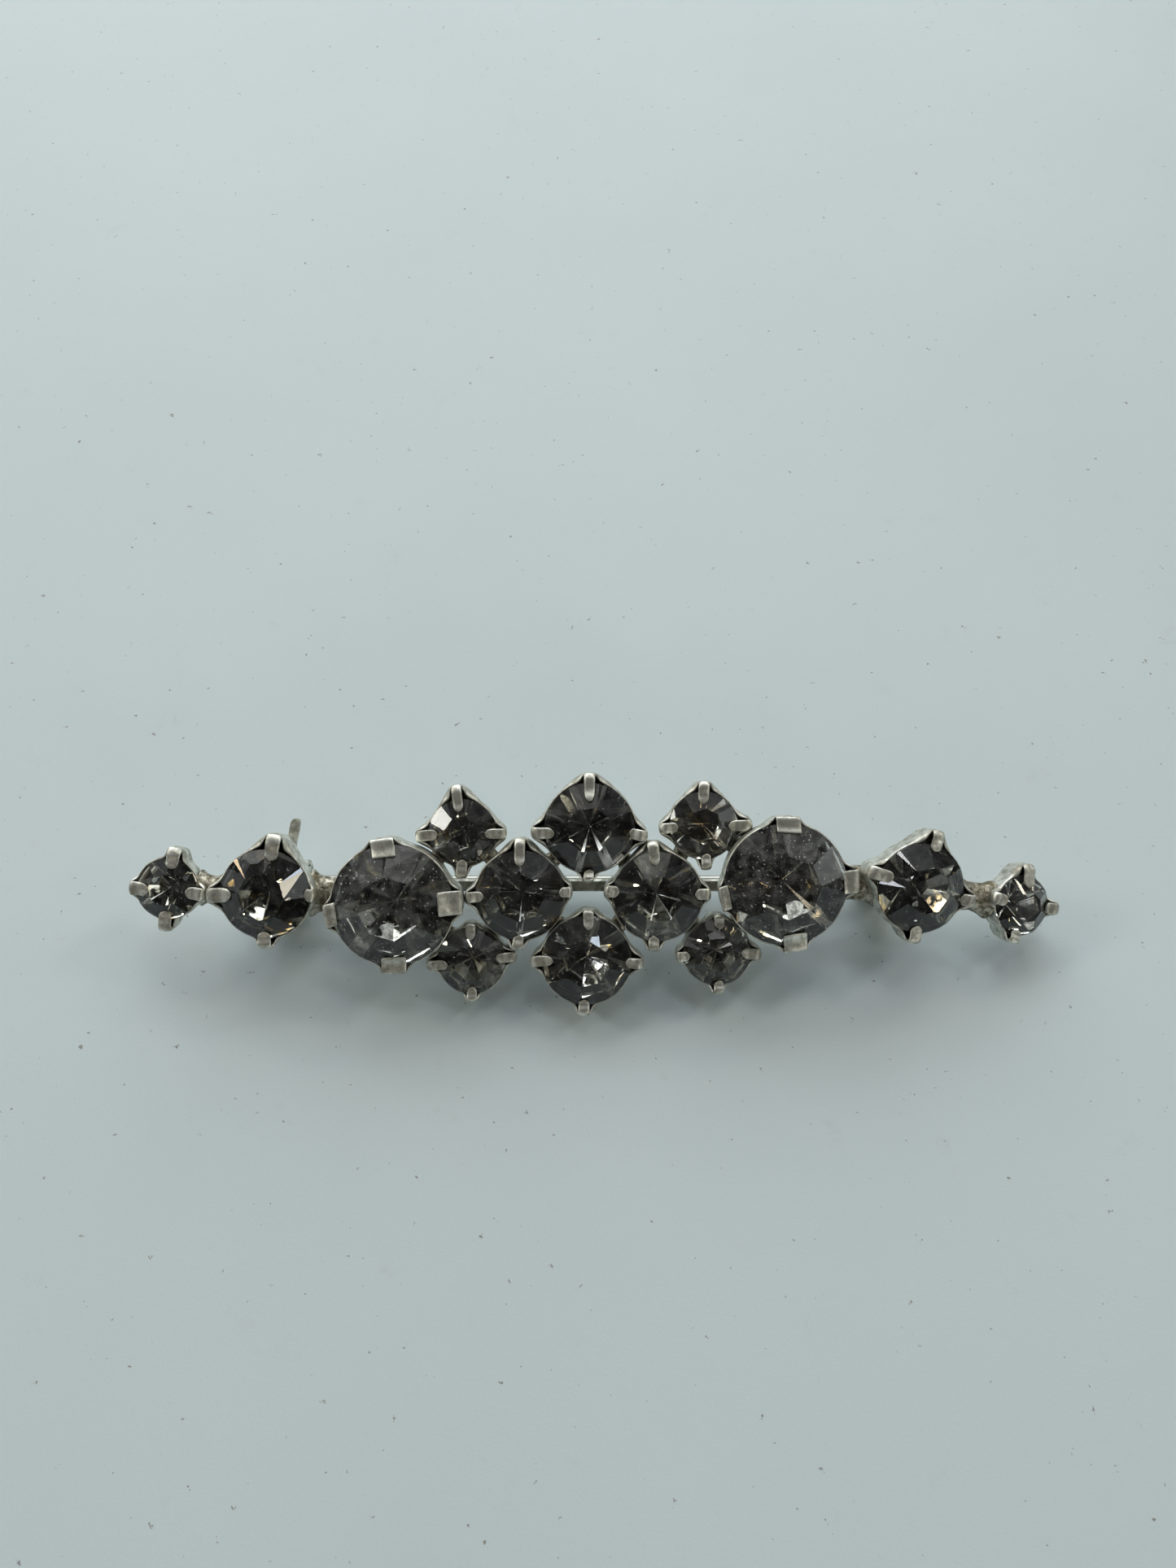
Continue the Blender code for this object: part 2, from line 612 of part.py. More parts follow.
def build_catch(parts, cutters, finishes, brooch):
    """Two C-shaped rings on a foot, and the slotted rotor inside them, with its lever between the rings."""
    foot_top = -BAR_GAP - BAR_T - FOOT_GAP
    axis = (CATCH_X, 0, -PIN_DEPTH)
    low = (CATCH_X - CATCH_REACH, -CATCH_FOOT_W / 2, foot_top - FOOT_T)
    foot = box_mesh("catch_housing", low, (CATCH_X + CATCH_REACH, CATCH_FOOT_W / 2, foot_top))
    housing = new_object("catch_housing", foot, parts, finishes["plated_metal"], brooch)
    add_boolean(housing, rod_mesh("rings", "X", axis, FITTING_R, 2 * CATCH_REACH), "UNION", cutters, brooch)
    bore_r = FITTING_R - CATCH_WALL
    bore = rod_mesh("bore", "X", axis, bore_r, 4 * CATCH_REACH)
    add_boolean(housing, bore, "DIFFERENCE", cutters, brooch)
    half = LEVER_W / 2 + SIDE_GAP
    low = (CATCH_X - half, -2 * FITTING_R, -PIN_DEPTH - 2 * FITTING_R)
    window = box_mesh("window", low, (CATCH_X + half, 2 * FITTING_R, foot_top - FOOT_T))
    add_boolean(housing, window, "DIFFERENCE", cutters, brooch)
    low = (CATCH_X - 2 * CATCH_REACH, -MOUTH_W / 2, -PIN_DEPTH - 2 * FITTING_R)
    mouth = box_mesh("mouth", low, (CATCH_X + 2 * CATCH_REACH, MOUTH_W / 2, -PIN_DEPTH))
    add_boolean(housing, mouth, "DIFFERENCE", cutters, brooch)

    pivot = bpy.data.objects.new("rotor_pivot", None)
    parts.objects.link(pivot)
    pivot.parent = brooch
    pivot.location = axis
    barrel = rod_mesh("catch_rotor", "X", (0, 0, 0), bore_r - RUNNING_GAP, 2 * CATCH_REACH)
    rotor = new_object("catch_rotor", barrel, parts, finishes["plated_metal"], pivot)
    add_boolean(rotor, lever_mesh(-LEVER_W / 2, LEVER_W / 2), "UNION", cutters, pivot)
    through = rod_mesh("through", "X", (0, 0, 0), ROTOR_BORE_R, 4 * CATCH_REACH)
    add_boolean(rotor, through, "DIFFERENCE", cutters, pivot)
    low = (-2 * CATCH_REACH, -SLOT_W / 2, -2 * FITTING_R)
    slot = box_mesh("slot", low, (2 * CATCH_REACH, SLOT_W / 2, 0))
    add_boolean(rotor, slot, "DIFFERENCE", cutters, pivot)


def lean_angle():
    """How far the brooch leans: its bottom cup's back edge and its round fittings touch one flat table."""
    bottom = SETTINGS["bottom"]
    edge = bottom.radius * BASE_SHARE - bottom.centre.y
    away = math.hypot(edge, PIN_DEPTH)
    return math.atan2(PIN_DEPTH, edge) + math.asin(FITTING_R / away)


def stand_on_table(parts, brooch):
    """Lean the brooch and put the middle of its underside at the origin."""
    brooch.rotation_euler = (lean_angle(), 0, 0)
    bpy.context.view_layer.update()
    graph = bpy.context.evaluated_depsgraph_get()
    corners = []
    for made in parts.objects:
        if made.type != "MESH":
            continue
        seen = made.evaluated_get(graph)
        corners += [seen.matrix_world @ v.co for v in seen.data.vertices]
    low = [min(c[i] for c in corners) for i in range(3)]
    high = [max(c[i] for c in corners) for i in range(3)]
    brooch.location = (-(low[0] + high[0]) / 2, -(low[1] + high[1]) / 2, -low[2])
    bpy.context.view_layer.update()


def main():
    for old in list(bpy.data.objects):
        bpy.data.objects.remove(old)
    parts = bpy.data.collections.new("rhinestone_bar_brooch")
    cutters = bpy.data.collections.new("cutters")
    bpy.context.scene.collection.children.link(parts)
    bpy.context.scene.collection.children.link(cutters)
    finishes = {name: material(name) for name in FINISHES}
    brooch = bpy.data.objects.new("brooch", None)
    parts.objects.link(brooch)
    lay_out_settings()
    build_settings(parts, finishes, brooch)
    build_solder(parts, finishes, brooch)
    build_bar(parts, finishes, brooch)
    build_hinge(parts, cutters, finishes, brooch)
    build_pin(parts, cutters, finishes, brooch)
    build_catch(parts, cutters, finishes, brooch)
    stand_on_table(parts, brooch)


main()
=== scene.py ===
"""A bar brooch of fourteen foiled rhinestones in plated cups, lying face up on a pale table.

Units are metres, in the CAD model's frame. Each detailed piece takes its place and size from the CAD nodes.
"""

import json
import math
import random

import bmesh
import bpy
from mathutils import Matrix, Vector, noise


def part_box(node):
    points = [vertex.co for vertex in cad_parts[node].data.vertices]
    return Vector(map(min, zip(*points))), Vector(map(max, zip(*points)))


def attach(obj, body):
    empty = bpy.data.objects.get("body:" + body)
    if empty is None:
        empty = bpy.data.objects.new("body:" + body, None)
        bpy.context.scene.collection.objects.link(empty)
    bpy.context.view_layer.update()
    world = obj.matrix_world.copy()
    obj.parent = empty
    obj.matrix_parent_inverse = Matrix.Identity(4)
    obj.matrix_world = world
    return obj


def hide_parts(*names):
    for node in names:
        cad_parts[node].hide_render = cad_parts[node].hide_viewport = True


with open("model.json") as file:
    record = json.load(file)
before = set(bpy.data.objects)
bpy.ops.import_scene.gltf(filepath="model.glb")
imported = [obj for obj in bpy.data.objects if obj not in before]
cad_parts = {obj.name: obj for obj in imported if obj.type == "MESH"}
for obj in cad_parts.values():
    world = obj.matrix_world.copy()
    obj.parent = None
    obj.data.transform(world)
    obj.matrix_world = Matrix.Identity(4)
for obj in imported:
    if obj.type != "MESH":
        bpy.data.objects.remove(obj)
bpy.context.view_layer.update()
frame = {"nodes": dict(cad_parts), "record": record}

MM = 0.001

# Each cup's claws: the bearing from the brooch's long axis in degrees, how far the claw stands off the girdle
# and how far it laps over the stone in millimetres, and how far round the wall flares out to it in degrees
CLAWS = {
    "left_end": ((-9, 0.62, 0.75, 20), (75, 0.98, 0.70, 14), (177, 0.38, 1.25, 14), (268, 0.88, 0.72, 7)),
    "left_shoulder": ((-1, 0.3, 0.4, 16), (79, 1.3, 0.7, 34), (181, 0.95, 1.1, 20), (270, 0.66, 0.65, 6)),
    "left_large": ((3, 0.74, 1.20, 10), (98, 0.52, 1.00, 10), (190, 0.50, 0.55, 6), (271, 0.52, 0.90, 5)),
    "left_top": ((0, 0.75, 0.80, 24), (97, 1.15, 0.85, 36), (184, 1.00, 0.75, 24), (268, 0.85, 0.60, 8)),
    "left_bottom": ((7, 0.90, 0.65, 16), (90, 0.40, 0.80, 16), (184, 0.85, 0.80, 16), (270, 0.50, 0.65, 6)),
    "left_centre": ((6, 0.50, 0.45, 14), (90, 0.98, 1.05, 32), (182, 0.78, 0.65, 16), (266, 0.72, 0.45, 6)),
    "top": ((-8, 1.00, 0.45, 22), (90, 0.76, 1.35, 38), (184, 1.00, 0.80, 22), (268, 0.60, 0.30, 6)),
    "bottom": ((-2, 0.95, 0.45, 16), (88, 0.55, 0.95, 22), (180, 0.80, 0.90, 16), (267, 0.80, 0.50, 6)),
    "right_centre": ((4, 0.55, 0.60, 14), (96, 0.85, 0.95, 30), (173, 0.62, 0.45, 14), (266, 0.72, 0.45, 6)),
    "right_top": ((1, 1.10, 0.75, 22), (90, 0.80, 0.95, 34), (184, 0.80, 0.60, 22), (273, 0.80, 0.45, 7)),
    "right_bottom": ((-1, 0.75, 0.75, 14), (89, 0.38, 0.70, 16), (185, 0.60, 0.45, 12), (271, 0.56, 0.45, 6)),
    "right_large": ((4, 0.85, 0.40, 6), (90, 0.55, 0.75, 9), (193, 0.40, 0.40, 6), (279, 0.46, 1.05, 5)),
    "right_shoulder": ((-14, 0.95, 0.25, 16), (75, 1.2, 0.45, 28), (161, 1.2, 0.8, 20), (260, 0.8, 0.6, 7)),
    "right_end": ((-7, 0.90, 0.40, 10), (85, 1.00, 0.85, 24), (163, 0.66, 0.60, 20), (248, 0.66, 0.45, 7)),
}
LARGE = ("left_large", "right_large")
SMALL = ("left_end", "right_end", "left_top", "left_bottom", "right_top", "right_bottom")

# The facets' turn about each stone's axis, in degrees
STONE_TURN = {
    "left_end": 12,
    "left_shoulder": 14,
    "left_large": 30,
    "left_top": 10,
    "left_bottom": 3,
    "left_centre": 20,
    "top": 5,
    "bottom": 12,
    "right_centre": 10,
    "right_top": 18,
    "right_bottom": 6,
    "right_large": 24,
    "right_shoulder": 9,
    "right_end": 4,
}

SOLDERED = [
    ("left_end", "left_shoulder"),
    ("left_shoulder", "left_large"),
    ("left_large", "left_top"),
    ("left_large", "left_bottom"),
    ("left_top", "left_centre"),
    ("left_bottom", "left_centre"),
    ("left_centre", "top"),
    ("left_centre", "bottom"),
    ("top", "right_centre"),
    ("bottom", "right_centre"),
    ("right_centre", "right_top"),
    ("right_centre", "right_bottom"),
    ("right_top", "right_large"),
    ("right_bottom", "right_large"),
    ("right_large", "right_shoulder"),
    ("right_shoulder", "right_end"),
]

# The cut, as shares of the diameter, and the room that a stone has in its cup
PAVILION_SHARE = 0.40
CROWN_SHARE = 0.17
TABLE_SHARE = 0.52
GIRDLE_T = 0.15 * MM
CUT_SIDES = 8
BLANK_SIDES = 64
STONE_FIT = 0.985

# How far machine-cut facets are off true: their bearings in radians, the culet in millimetres, and their
# slopes as shares of the drawn ones. A ridge facet lies flatter than its neighbours by a share, which is less
# on a large stone (True)
FACET_SLIP = 0.02
RIDGE_SLIP = 0.03
CULET_SLIP = 0.03
FACET_SLOPES = (0.972, 1.028)
RIDGE_FLATTER = {True: (0.030, 0.055), False: (0.048, 0.067)}

# Which foil a back facet has kept, drawn by lot from its materials: 1 is bright, 2 darkened, 3 greyed and
# 4 rubbed. The small stones (True) have kept more of it. A facet is at the back if it faces further down than
# BACK_FACING
FOIL_WEAR = {False: (1, 2, 2, 3), True: (1, 1, 3, 1, 2)}
RIDGE_WEAR = (3, 4, 4)
BACK_FACING = -0.3

# The cups' sheet and wall
SHEET_T = 0.20 * MM
RIM_OUT = 0.06 * MM
BASE_SHARE = 0.60
COLUMNS_BETWEEN = 11

# The wall's rows from the flat back up: how far out towards the rim, and how far up towards the shoulder
WALL_ROWS = ((-0.06, 0.0), (0.12, 0.01), (0.52, 0.10), (0.80, 0.26), (0.94, 0.48), (0.985, 0.74), (1.0, 1.0))
CENTRE_ROW = -0.35
SHOULDER_Z = -0.20 * MM
SHOULDER_LIFT = 0.32 * MM
LIP_Z = 0.06 * MM
LIP_LIFT = 0.40 * MM
LIP_LEAN = 0.6
LIP_OUT = 0.22
LIP_CURVE = 14
FLARE_CURVE = 1.8
LIFT_CURVE = 1.3

# The claws. Those of the four outer cups are cut wider
CLAW_W = 1.08 * MM
CLAW_TIP_W = 0.84 * MM
TAB_W = 2.1 * MM
SMALL_CLAW = 0.95
WIDE_CLAWS = {"left_end": 1.30, "left_shoulder": 1.25, "right_shoulder": 1.10, "right_end": 1.15}
TIP_NARROWS = 0.55
TIP_POINT = 0.18 * MM
CLAW_BEND = 0.05
CLAW_WIDTHS = (0.93, 1.07)
CLAW_LAPS = (0.95, 1.05)
CLAW_OFF_STONE = 0.04 * MM

# A claw's fold in rows, for a narrow claw (False) and for a wide tab (True). Going up off the wall, a row has
# its share of the stand, its height and its ridge. Going over the stone, it has its share of the lap, its
# height over the glass and its ridge. Heights and ridges are in millimetres. A ridge is the middle raised
# above the sides, outwards in the first two rows and upwards in the others
FOLD_UP = {
    False: ((0.92, 0.50, 0.20), (0.74, 0.76, 0.17), (0.35, 0.88, 0.03)),
    True: ((1.0, 0.45, 0.0), (0.96, 0.62, 0.0), (0.45, 0.72, 0.0)),
}
FOLD_OVER = {
    False: ((0.30, 0.16, -0.04), (0.75, 0.06, -0.06), (1.0, -0.04, 0.0)),
    True: ((0.35, 0.10, 0.0), (0.85, 0.03, 0.0), (1.0, -0.03, 0.0)),
}
RIDGED_OUTWARD = 2

# The dents that handling leaves in a cup, and what sets one piece's dents apart from the next one's. Their noise
# would start from the clock if it weren't given a start
DENT_SEED = 1
DENT_SIZE = 1.6 * MM
DENT_DEPTH = 0.03
SPREAD = 1000

# The solder, in millimetres: the half width and half depth of the longer necks and of a short bead
NECKS = {
    ("left_end", "left_shoulder"): (1.28, 0.95),
    ("left_shoulder", "left_large"): (1.70, 1.05),
    ("right_large", "right_shoulder"): (1.62, 1.05),
    ("right_shoulder", "right_end"): (1.40, 1.00),
}
BEAD = (0.85, 0.65)
NECK_LIFT = 0.80 * MM
NECK_REACH = 0.85 * MM
BEAD_REACH = 0.55 * MM

# A joint's waist and flare as shares of its width, and its lumps' sizes and heights in millimetres
SOLDER_SIDES = 24
SOLDER_ROWS = 16
SOLDER_WAIST = 0.88
SOLDER_FLARE = 0.5
SOLDER_CURVE = 2.2
END_FROM = 0.97
END_NARROWS = 0.35
LUMPS = ((0.9, 0.14), (0.32, 0.05))

# The fittings' edges
MERGE_WITHIN = 0.001 * MM
FLAT_WITHIN = math.radians(1)
SHARP_FROM = math.radians(35)


# --- Places, read from the CAD model ---

FACE = -Vector(next(m["axis"] for m in frame["record"]["mounts"] if m["name"] == "back_of_top_cup"))


def corners_of(name):
    """A CAD node's corners, each of them once."""
    bm = bmesh.new()
    bm.from_mesh(frame["nodes"][name].data)
    bmesh.ops.remove_doubles(bm, verts=bm.verts, dist=MERGE_WITHIN)
    found = [v.co.copy() for v in bm.verts]
    bm.free()
    return found


def frame_about(centre, up):
    """A place with its Z along up and its X as near as can be to the brooch's long axis."""
    across = up.cross(Vector((1, 0, 0))).normalized()
    place = Matrix((across.cross(up), across, up)).transposed().to_4x4()
    place.translation = centre
    return place


def seat_of(name):
    """A stone's place, with its origin on the girdle and Z out through the table, and the girdle's radius."""
    corners = corners_of("stone_" + name)
    culet = min(corners, key=lambda c: c.dot(FACE))
    middle = sum(corners, Vector()) / len(corners)
    up = (middle - culet).normalized()
    radius = max((c - culet).cross(up).length for c in corners)
    return frame_about(culet + up * 2 * radius * PAVILION_SHARE, up), radius


def extent(name, place):
    """A CAD node's lowest and highest corner, measured in a place of its own."""
    inverse = place.inverted()
    corners = [inverse @ c for c in corners_of(name)]
    low = Vector([min(c[i] for c in corners) for i in range(3)])
    high = Vector([max(c[i] for c in corners) for i in range(3)])
    return low, high


SEATS = {name: seat_of(name) for name in CLAWS}


# --- Materials ---


def colour(code):
    """An sRGB hex colour as linear light."""
    channels = [int(code[i : i + 2], 16) / 255 for i in (1, 3, 5)]
    return (*[c / 12.92 if c <= 0.04045 else ((c + 0.055) / 1.055) ** 2.4 for c in channels], 1.0)


def add(tree, kind, settings, inputs):
    """Add a node, with its settings by name, and a link or a value for each input named."""
    made = tree.nodes.new(kind)
    for name, value in settings.items():
        setattr(made, name, value)
    for name, value in inputs.items():
        if isinstance(value, bpy.types.NodeSocket):
            tree.links.new(value, made.inputs[name])
        else:
            made.inputs[name].default_value = value
    return made


def new_material(name):
    """A material with its Principled shader, and the piece's own coordinates."""
    made = bpy.data.materials.new(name)
    made.use_nodes = True
    tree = made.node_tree
    place = add(tree, "ShaderNodeTexCoord", {}, {}).outputs["Object"]
    return made, tree, tree.nodes["Principled BSDF"], place


def pressed_plate():
    """Nickel plate on pressed brass: satin, browned in its folds and between the cups by an occlusion mask,
    which is tarnish and painted shade, and pale where clothes rubbed it on its open parts.

    The plate's own grain is under 0.05 mm. It is drawn at 0.16 mm, so that it shows.
    """
    made, tree, shader, place = new_material("tarnished_nickel_plate_painted_shade")
    blotch = add(
        tree,
        "ShaderNodeTexNoise",
        {},
        {"Vector": place, "Scale": 1 / (0.8 * MM), "Detail": 6, "Roughness": 0.68},
    )
    grain = add(
        tree,
        "ShaderNodeTexNoise",
        {},
        {"Vector": place, "Scale": 1 / (0.16 * MM), "Detail": 3, "Roughness": 0.6},
    )
    # Painted shade: an ambient-occlusion mask of the folds, the recesses and the gaps between the cups, which
    # also stands for tarnish
    occlusion_shade = add(tree, "ShaderNodeAmbientOcclusion", {"samples": 6}, {"Distance": 0.5 * MM})
    unshaded_part = add(
        tree, "ShaderNodeMapRange", {}, {"Value": occlusion_shade.outputs["AO"], "From Min": 0.1, "From Max": 0.75}
    )
    worn = add(
        tree, "ShaderNodeMapRange", {}, {"Value": blotch.outputs["Fac"], "From Min": 0.38, "From Max": 0.62}
    )
    bright = add(
        tree, "ShaderNodeMath", {"operation": "MULTIPLY"}, {0: unshaded_part.outputs[0], 1: worn.outputs[0]}
    )
    tint = add(
        tree,
        "ShaderNodeMix",
        {"data_type": "RGBA"},
        {0: bright.outputs[0], 6: colour("#a3a297"), 7: colour("#ebebe1")},
    )
    # Painted shade and tarnish: the occluded parts take the dark brown, and the open parts take the plate's tint
    tarnish_and_painted_shade = add(
        tree,
        "ShaderNodeMix",
        {"data_type": "RGBA"},
        {0: unshaded_part.outputs[0], 6: colour("#4b4a42"), 7: tint.outputs[2]},
    )
    rough = add(
        tree, "ShaderNodeMapRange", {}, {"Value": bright.outputs[0], "To Min": 0.56, "To Max": 0.38}
    )
    bump = add(
        tree,
        "ShaderNodeBump",
        {},
        {"Height": grain.outputs["Fac"], "Strength": 0.5, "Distance": 0.012 * MM},
    )
    dents = add(
        tree,
        "ShaderNodeBump",
        {},
        {"Height": blotch.outputs["Fac"], "Strength": 0.6, "Distance": 0.05 * MM, "Normal": bump.outputs[0]},
    )
    shader.inputs["Metallic"].default_value = 1.0
    tree.links.new(tarnish_and_painted_shade.outputs[2], shader.inputs["Base Color"])
    tree.links.new(rough.outputs[0], shader.inputs["Roughness"])
    tree.links.new(dents.outputs[0], shader.inputs["Normal"])
    return made


def dull_solder():
    """Tin-lead solder: dull and grey, frozen in lumps, with bright nicks."""
    made, tree, shader, place = new_material("tin_lead_solder")
    lumps = add(
        tree,
        "ShaderNodeTexNoise",
        {},
        {"Vector": place, "Scale": 1 / (0.45 * MM), "Detail": 6, "Roughness": 0.65},
    )
    nicks = add(
        tree, "ShaderNodeMapRange", {}, {"Value": lumps.outputs["Fac"], "From Min": 0.42, "From Max": 0.66}
    )
    tint = add(
        tree,
        "ShaderNodeMix",
        {"data_type": "RGBA"},
        {0: nicks.outputs[0], 6: colour("#66614f"), 7: colour("#d0cbbd")},
    )
    rough = add(tree, "ShaderNodeMapRange", {}, {"Value": nicks.outputs[0], "To Min": 0.55, "To Max": 0.32})
    bump = add(
        tree, "ShaderNodeBump", {}, {"Height": lumps.outputs["Fac"], "Strength": 0.8, "Distance": 0.12 * MM}
    )
    shader.inputs["Metallic"].default_value = 1.0
    tree.links.new(tint.outputs[2], shader.inputs["Base Color"])
    tree.links.new(rough.outputs[0], shader.inputs["Roughness"])
    tree.links.new(bump.outputs[0], shader.inputs["Normal"])
    return made


def drawn_wire():
    """Nickel-plated steel wire: brighter than the cups, with lines from the drawing die along it.

    The real lines are about 0.01 mm apart. They are drawn 0.3 mm apart, so that they show.
    """
    made, tree, shader, place = new_material("drawn_nickel_wire")
    stretched = add(tree, "ShaderNodeMapping", {}, {"Vector": place, "Scale": (0.05, 1, 1)})
    lines = add(
        tree,
        "ShaderNodeTexNoise",
        {},
        {"Vector": stretched.outputs[0], "Scale": 1 / (0.3 * MM), "Detail": 4},
    )
    tint = add(
        tree,
        "ShaderNodeMix",
        {"data_type": "RGBA"},
        {0: lines.outputs["Fac"], 6: colour("#84837a"), 7: colour("#c8c8bf")},
    )
    rough = add(
        tree, "ShaderNodeMapRange", {}, {"Value": lines.outputs["Fac"], "To Min": 0.38, "To Max": 0.22}
    )
    shader.inputs["Metallic"].default_value = 1.0
    tree.links.new(tint.outputs[2], shader.inputs["Base Color"])
    tree.links.new(rough.outputs[0], shader.inputs["Roughness"])
    return made


def cut_glass(name, dusty):
    """Colourless pressed glass, fire-polished: clear and sharp, under skin dust and settled flecks.

    Real dust is about 0.03 mm across. It is drawn at 0.1 mm, and its flecks at 0.22 mm, so that they show.
    """
    made, tree, shader, place = new_material(name)
    film = add(tree, "ShaderNodeTexNoise", {}, {"Vector": place, "Scale": 1 / (0.9 * MM), "Detail": 3})
    specks = add(
        tree,
        "ShaderNodeTexNoise",
        {},
        {"Vector": place, "Scale": 1 / (0.10 * MM), "Detail": 4, "Roughness": 0.7},
    )
    both = add(
        tree,
        "ShaderNodeMath",
        {"operation": "MULTIPLY"},
        {0: film.outputs["Fac"], 1: specks.outputs["Fac"]},
    )
    clear = add(
        tree,
        "ShaderNodeMapRange",
        {},
        {
            "Value": both.outputs[0],
            "From Min": 0.20,
            "From Max": 0.42,
            "To Min": 0.995,
            "To Max": 1 - dusty,
        },
    )
    flecks = add(tree, "ShaderNodeTexNoise", {}, {"Vector": place, "Scale": 1 / (0.22 * MM), "Detail": 2})
    settled = add(
        tree,
        "ShaderNodeMapRange",
        {},
        {
            "Value": flecks.outputs["Fac"],
            "From Min": 0.66,
            "From Max": 0.72,
            "To Min": 0.0,
            "To Max": dusty * 4,
        },
    )
    clean = add(
        tree, "ShaderNodeMath", {"operation": "SUBTRACT"}, {0: clear.outputs[0], 1: settled.outputs[0]}
    )
    rough = add(
        tree,
        "ShaderNodeMapRange",
        {},
        {"Value": film.outputs["Fac"], "From Min": 0.5, "From Max": 0.8, "To Max": 0.01},
    )
    shader.inputs["Base Color"].default_value = colour("#f2f4f3")
    shader.inputs["IOR"].default_value = 1.52
    tree.links.new(clean.outputs[0], shader.inputs["Transmission Weight"])
    tree.links.new(rough.outputs[0], shader.inputs["Roughness"])
    return made


def worn_foil():
    """Foil rubbed matt along the ridges between facets, where it shows as a pale line."""
    made, tree, shader, place = new_material("foil_worn_at_ridges")
    rub = add(tree, "ShaderNodeTexNoise", {}, {"Vector": place, "Scale": 1 / (0.5 * MM), "Detail": 3})
    tint = add(
        tree,
        "ShaderNodeMix",
        {"data_type": "RGBA"},
        {0: rub.outputs["Fac"], 6: colour("#b4b3aa"), 7: colour("#fbfaf4")},
    )
    rough = add(tree, "ShaderNodeMapRange", {}, {"Value": rub.outputs["Fac"], "To Min": 0.35, "To Max": 0.12})
    shader.inputs["Metallic"].default_value = 1.0
    tree.links.new(tint.outputs[2], shader.inputs["Base Color"])
    tree.links.new(rough.outputs[0], shader.inputs["Roughness"])
    return made


def aged_foil(name, dark, bright, gold, wear, haze):
    """Silver foil and gold lacquer behind the stone: a mirror seen through the glass, dull in patches."""
    made, tree, shader, place = new_material(name)
    patches = add(
        tree,
        "ShaderNodeTexNoise",
        {},
        {"Vector": place, "Scale": 1 / (0.6 * MM), "Detail": 5, "Roughness": 0.7},
    )
    kept = add(
        tree,
        "ShaderNodeMapRange",
        {},
        {"Value": patches.outputs["Fac"], "From Min": wear - 0.06, "From Max": wear + 0.06},
    )
    silver = add(
        tree, "ShaderNodeMix", {"data_type": "RGBA"}, {0: kept.outputs[0], 6: colour(dark), 7: colour(bright)}
    )
    lacquer = add(tree, "ShaderNodeTexNoise", {}, {"Vector": place, "Scale": 1 / (2.6 * MM), "Detail": 2})
    shows = add(
        tree,
        "ShaderNodeMapRange",
        {},
        {
            "Value": lacquer.outputs["Fac"],
            "From Min": 0.57,
            "From Max": 0.64,
            "To Min": 0.0,
            "To Max": gold,
        },
    )
    tint = add(
        tree,
        "ShaderNodeMix",
        {"data_type": "RGBA"},
        {0: shows.outputs[0], 6: silver.outputs[2], 7: colour("#c7a252")},
    )
    rough = add(tree, "ShaderNodeMapRange", {}, {"Value": kept.outputs[0], "To Min": haze, "To Max": 0.01})
    bump = add(
        tree,
        "ShaderNodeBump",
        {},
        {"Height": patches.outputs["Fac"], "Strength": 0.05, "Distance": 0.01 * MM},
    )
    shader.inputs["Metallic"].default_value = 1.0
    tree.links.new(tint.outputs[2], shader.inputs["Base Color"])
    tree.links.new(rough.outputs[0], shader.inputs["Roughness"])
    tree.links.new(bump.outputs[0], shader.inputs["Normal"])
    return made


def table_top():
    """Brushed paint on board: pale blue-grey and matt, with faint scuffs and a few specks of grit.

    The paint's own grain is about 0.1 mm. It is drawn at 0.25 mm, so that it shows.
    """
    made, tree, shader, place = new_material("pale_painted_table")
    cloud = add(tree, "ShaderNodeTexNoise", {}, {"Vector": place, "Scale": 1 / (45 * MM), "Detail": 4})
    scuff = add(
        tree,
        "ShaderNodeTexNoise",
        {},
        {"Vector": place, "Scale": 1 / (5 * MM), "Detail": 8, "Roughness": 0.75},
    )
    speck = add(
        tree,
        "ShaderNodeTexNoise",
        {},
        {"Vector": place, "Scale": 1 / (1.1 * MM), "Detail": 3, "Roughness": 0.7},
    )
    pale = add(
        tree,
        "ShaderNodeMix",
        {"data_type": "RGBA"},
        {0: cloud.outputs["Fac"], 6: colour("#bac7ca"), 7: colour("#c4d0d3")},
    )
    rubbed = add(
        tree,
        "ShaderNodeMapRange",
        {},
        {"Value": scuff.outputs["Fac"], "From Min": 0.60, "From Max": 0.78, "To Min": 0.0, "To Max": 0.35},
    )
    grimy = add(
        tree,
        "ShaderNodeMix",
        {"data_type": "RGBA"},
        {0: rubbed.outputs[0], 6: pale.outputs[2], 7: colour("#a9aeaa")},
    )
    grit = add(
        tree,
        "ShaderNodeMapRange",
        {},
        {"Value": speck.outputs["Fac"], "From Min": 0.68, "From Max": 0.72, "To Min": 0.0, "To Max": 0.8},
    )
    tint = add(
        tree,
        "ShaderNodeMix",
        {"data_type": "RGBA"},
        {0: grit.outputs[0], 6: grimy.outputs[2], 7: colour("#6d675c")},
    )
    grain = add(tree, "ShaderNodeTexNoise", {}, {"Vector": place, "Scale": 1 / (0.25 * MM), "Detail": 2})
    stipple = add(
        tree, "ShaderNodeBump", {}, {"Height": grain.outputs["Fac"], "Strength": 0.5, "Distance": 0.02 * MM}
    )
    shader.inputs["Roughness"].default_value = 0.55
    tree.links.new(tint.outputs[2], shader.inputs["Base Color"])
    tree.links.new(stipple.outputs[0], shader.inputs["Normal"])
    return made


